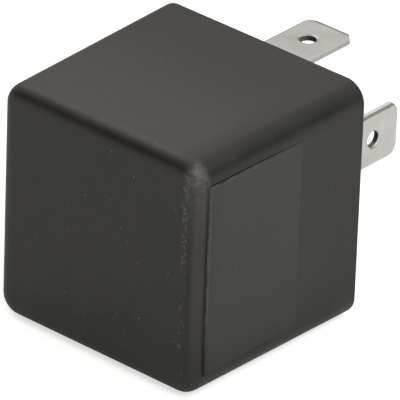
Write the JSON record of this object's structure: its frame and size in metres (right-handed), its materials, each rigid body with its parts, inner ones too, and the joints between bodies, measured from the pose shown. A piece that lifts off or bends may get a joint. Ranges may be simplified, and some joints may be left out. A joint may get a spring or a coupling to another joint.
{
  "type": "automotive relay",
  "caption": "Plug-in automotive changeover relay: black moulded cap with a flat label side, flat tinned blades, and a hinged armature inside.",
  "frame": {"origin": "centre of the base's underside, the face that seats on the socket", "axes": "+Y along the blades, +Z towards the make contact's blade, +X towards the label side; the relay lies on the flat side of its cap opposite +Z"},
  "size_m": [0.028, 0.0369, 0.0276],
  "materials": {
    "cap_plastic": "fine spark-eroded texture, dark grey-black",
    "base_plastic": "moulded, glass-filled, near black",
    "tinned_blade": "matt tin over brass",
    "magnet_iron": "zinc-plated soft iron",
    "bobbin_plastic": "natural nylon",
    "coil_copper": "enamelled copper wire",
    "spring_bronze": "rolled copper alloy strip",
    "contact_silver": "satin silver alloy"
  },
  "bodies": {
    "housing": {"cap": "cap_plastic", "base": "base_plastic", "terminal_30": "tinned_blade", "terminal_85": "tinned_blade", "terminal_86": "tinned_blade", "terminal_87": "tinned_blade", "terminal_87a": "tinned_blade", "yoke": "magnet_iron", "core": "magnet_iron", "bobbin": "bobbin_plastic", "coil_winding": "coil_copper", "fixed_contact_make": "contact_silver", "fixed_contact_break": "contact_silver", "yoke_rivets": "magnet_iron"},
    "armature": {"armature": "magnet_iron", "contact_spring": "spring_bronze", "moving_contact": "contact_silver", "armature_rivets": "magnet_iron"}
  },
  "joints": [
    {"name": "armature_hinge", "type": "hinge", "parent": "housing", "child": "armature", "pos_m": [0, -0.01784, -0.01], "axis": [-1, 0, 0], "range_deg": [0, 3], "stiffness_Nm_per_rad": 0.02, "springref_deg": -4.3, "deforming": ["contact_spring"]}
  ]
}
